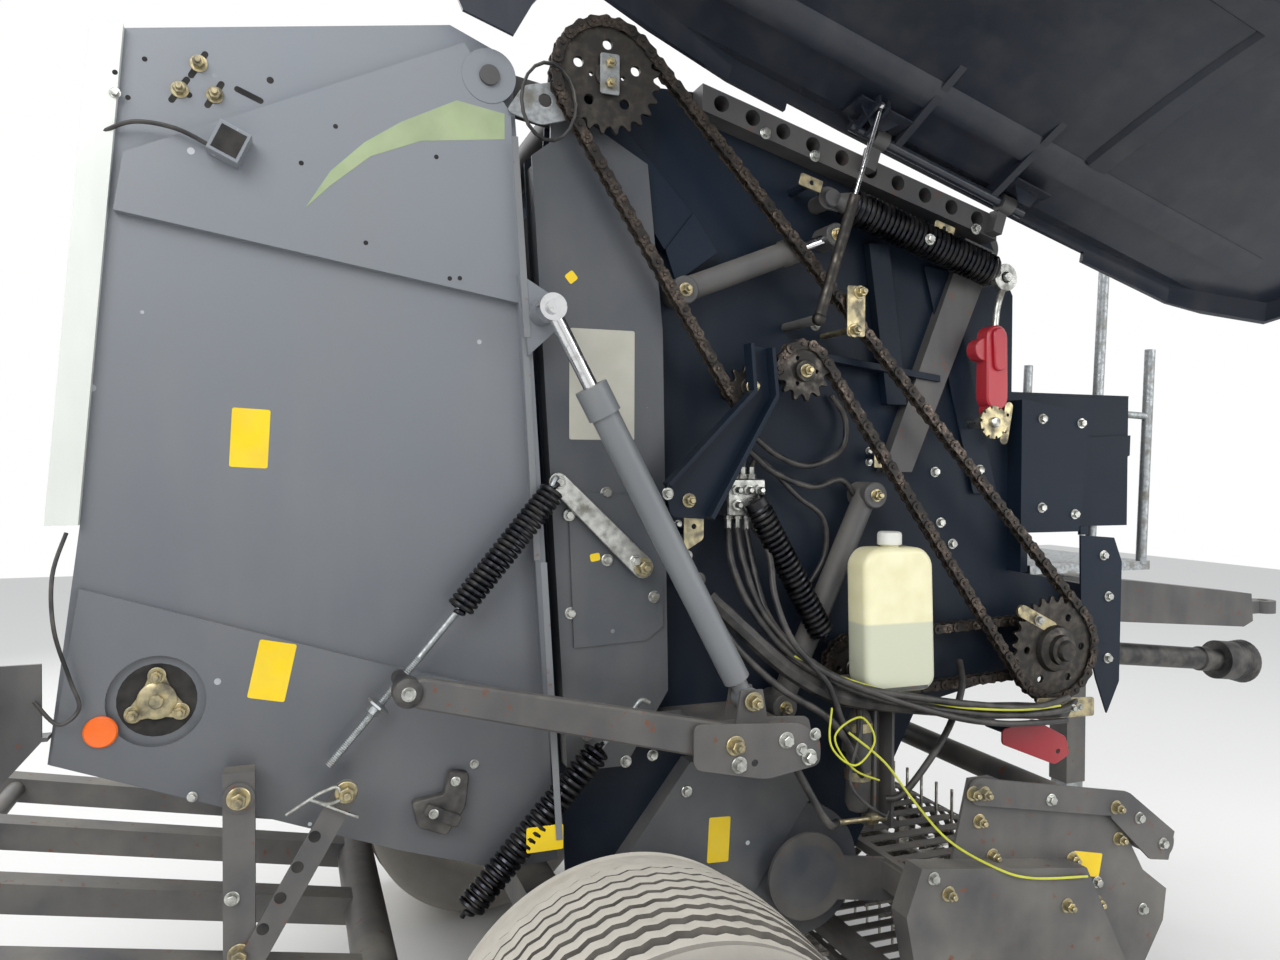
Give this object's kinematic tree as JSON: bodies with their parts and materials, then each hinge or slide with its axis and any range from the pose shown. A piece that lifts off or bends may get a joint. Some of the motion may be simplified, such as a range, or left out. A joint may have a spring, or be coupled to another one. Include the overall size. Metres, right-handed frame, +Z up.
{
  "type": "round baler",
  "caption": "Towed belt round baler with a lifting tailgate, tined pickup with gauge wheels, open side door over its chain drive, net box, drawbar with hitch eye and parking jack.",
  "frame": {"origin": "on the ground at the centre of the whole machine's box, with its right-hand door open", "axes": "+X forward to the hitch eye, +Y to the machine's left, +Z up"},
  "size_m": [4.6347, 3.3511, 3.0482],
  "materials": {
    "painted_grey": "satin paint",
    "painted_dark": "satin paint, dusty",
    "painted_pale": "satin paint",
    "painted_red": "gloss paint, worn",
    "galvanised": "galvanised",
    "zinc": "yellow zinc plate",
    "dark_steel": "oiled, dusty",
    "steel": "ground",
    "chrome_rod": "bright",
    "black_plastic": "moulded",
    "tank_plastic": "translucent cream",
    "door_skin": "painted sheet",
    "rubber": "dusty",
    "tyre": "dusty",
    "lamp": "moulded"
  },
  "bodies": {
    "frame": {"axle": "painted_dark", "front_walls": "painted_dark", "side_panels": "painted_grey", "frame_beams": "painted_dark", "drawbar": "painted_grey", "gearbox": "painted_dark", "pto_shaft": "black_plastic", "sprockets": "dark_steel", "drive_chain": "dark_steel", "rotor_chain": "dark_steel", "belt_tensioner": "painted_red", "density_linkage": "zinc", "cylinder_brackets": "painted_dark", "net_box": "painted_dark", "oil_tank": "tank_plastic", "hydraulics": "zinc", "hoses": "rubber", "front_shields": "black_plastic", "chamber_belts": "rubber", "chamber_rollers": "steel", "feed_floor": "painted_dark", "handrails": "galvanised", "jack_tube": "painted_grey"},
    "tailgate": {"tailgate_frame": "painted_grey", "corner_columns": "painted_pale", "tailgate_belts": "rubber", "tailgate_rollers": "steel", "rear_lamps": "lamp"},
    "wheel_left": {"tyre_left": "tyre", "rim_left": "painted_pale"},
    "wheel_right": {"tyre_right": "tyre", "rim_right": "painted_pale"},
    "cylinder_left": {"cylinder_barrel_left": "painted_dark"},
    "cylinder_right": {"cylinder_barrel_right": "painted_dark"},
    "rod_left": {"cylinder_rod_left": "chrome_rod"},
    "rod_right": {"cylinder_rod_right": "chrome_rod"},
    "door_left": {"door_left": "door_skin"},
    "door_right": {"door_right": "door_skin"},
    "strut_left": {"door_strut_left": "painted_dark"},
    "strut_right": {"door_strut_right": "painted_dark"},
    "strut_rod_left": {"door_strut_rod_left": "chrome_rod"},
    "strut_rod_right": {"door_strut_rod_right": "chrome_rod"},
    "pickup": {"pickup_frame": "painted_grey"},
    "reel": {"pickup_reel": "dark_steel"},
    "gauge_left": {"gauge_wheel_left": "rubber"},
    "gauge_right": {"gauge_wheel_right": "rubber"},
    "crop_guard": {"crop_guard": "painted_dark"},
    "ramp": {"bale_ramp": "painted_dark"},
    "rotor": {"feed_rotor": "dark_steel"},
    "net_lid": {"net_lid": "painted_grey"},
    "jack": {"jack_leg": "galvanised"}
  },
  "joints": [
    {"name": "wheel_left_spin", "type": "hinge", "parent": "frame", "child": "wheel_left", "pos_m": [-0.79, 1.43, 0.435], "axis": [0, 1, 0], "continuous": true},
    {"name": "wheel_right_spin", "type": "hinge", "parent": "frame", "child": "wheel_right", "pos_m": [-0.79, -0.61, 0.435], "axis": [0, 1, 0], "continuous": true},
    {"name": "tailgate_lift", "type": "hinge", "parent": "frame", "child": "tailgate", "pos_m": [-1.065, 0.41, 2.575], "axis": [0, 1, 0], "range_deg": [0, 60]},
    {"name": "door_right_hinge", "type": "hinge", "parent": "frame", "child": "door_right", "pos_m": [-0.121, -0.29, 2.567], "axis": [-0.9536, 0, 0.301], "range_deg": [-96, 0]},
    {"name": "door_left_hinge", "type": "hinge", "parent": "frame", "child": "door_left", "pos_m": [-0.121, 1.11, 2.567], "axis": [0.9536, 0, -0.301], "range_deg": [0, 96]},
    {"name": "cylinder_right_pivot", "type": "hinge", "parent": "frame", "child": "cylinder_right", "pos_m": [-0.478, -0.38, 1.172], "axis": [0, 1, 0], "range_deg": [-16.07, 1]},
    {"name": "rod_right_slide", "type": "slide", "parent": "cylinder_right", "child": "rod_right", "axis": [-0.4714, 0, 0.8819], "range_m": [-0.002, 0.4321]},
    {"name": "strut_right_pivot", "type": "hinge", "parent": "frame", "child": "strut_right", "pos_m": [-0.2775, -0.36, 2.07111], "axis": [-0.9536, 0, 0.301], "range_deg": [-1, 6.97]},
    {"name": "strut_rod_right_slide", "type": "slide", "parent": "strut_right", "child": "strut_rod_right", "axis": [0.3009, -0.0115, 0.9536], "range_m": [-0.1173, 0.002]},
    {"name": "cylinder_left_pivot", "type": "hinge", "parent": "frame", "child": "cylinder_left", "pos_m": [-0.478, 1.2, 1.172], "axis": [0, 1, 0], "range_deg": [-16.07, 1]},
    {"name": "rod_left_slide", "type": "slide", "parent": "cylinder_left", "child": "rod_left", "axis": [-0.4714, 0, 0.8819], "range_m": [-0.002, 0.4321]},
    {"name": "strut_left_pivot", "type": "hinge", "parent": "frame", "child": "strut_left", "pos_m": [-0.2775, 1.18, 2.07111], "axis": [0.9536, 0, -0.301], "range_deg": [-6.97, 1]},
    {"name": "strut_rod_left_slide", "type": "slide", "parent": "strut_left", "child": "strut_rod_left", "axis": [0.2997, -0.0926, 0.9495], "range_m": [-0.002, 0.1173]},
    {"name": "pickup_lift", "type": "hinge", "parent": "frame", "child": "pickup", "pos_m": [-0.256, 0.41, 0.681], "axis": [0, 1, 0], "range_deg": [0, 8]},
    {"name": "reel_spin", "type": "hinge", "parent": "pickup", "child": "reel", "pos_m": [0.3, 0.41, 0.5], "axis": [0, 1, 0], "continuous": true},
    {"name": "gauge_left_spin", "type": "hinge", "parent": "pickup", "child": "gauge_left", "pos_m": [0.16, 1.525, 0.315], "axis": [0, 1, 0], "continuous": true},
    {"name": "gauge_right_spin", "type": "hinge", "parent": "pickup", "child": "gauge_right", "pos_m": [0.16, -0.705, 0.315], "axis": [0, 1, 0], "continuous": true},
    {"name": "guard_hinge", "type": "hinge", "parent": "pickup", "child": "crop_guard", "pos_m": [0.024, 0.41, 0.96], "axis": [0, -1, 0], "range_deg": [0, 18]},
    {"name": "ramp_hinge", "type": "hinge", "parent": "frame", "child": "ramp", "pos_m": [-1.295, 0.41, 0.545], "axis": [0, -1, 0], "range_deg": [0, 30]},
    {"name": "rotor_spin", "type": "hinge", "parent": "frame", "child": "rotor", "pos_m": [-0.256, 0.41, 0.681], "axis": [0, 1, 0], "continuous": true},
    {"name": "net_lid_hinge", "type": "hinge", "parent": "frame", "child": "net_lid", "pos_m": [0.451, 0.41, 1.93], "axis": [0, -1, 0], "range_deg": [0, 80]},
    {"name": "jack_slide", "type": "slide", "parent": "frame", "child": "jack", "axis": [0, 0, 1], "range_m": [0, 0.35]}
  ],
  "couplings": [
    {"joint": "cylinder_left_pivot", "follows": "tailgate_lift", "ratio": -0.25123},
    {"joint": "rod_left_slide", "follows": "tailgate_lift", "m_per_rad": 0.41073},
    {"joint": "cylinder_right_pivot", "follows": "tailgate_lift", "ratio": -0.25123},
    {"joint": "rod_right_slide", "follows": "tailgate_lift", "m_per_rad": 0.41073},
    {"joint": "strut_left_pivot", "follows": "door_left_hinge", "ratio": -0.06219},
    {"joint": "strut_rod_left_slide", "follows": "door_left_hinge", "m_per_rad": 0.0688},
    {"joint": "strut_right_pivot", "follows": "door_right_hinge", "ratio": -0.06219},
    {"joint": "strut_rod_right_slide", "follows": "door_right_hinge", "m_per_rad": 0.0688}
  ]
}
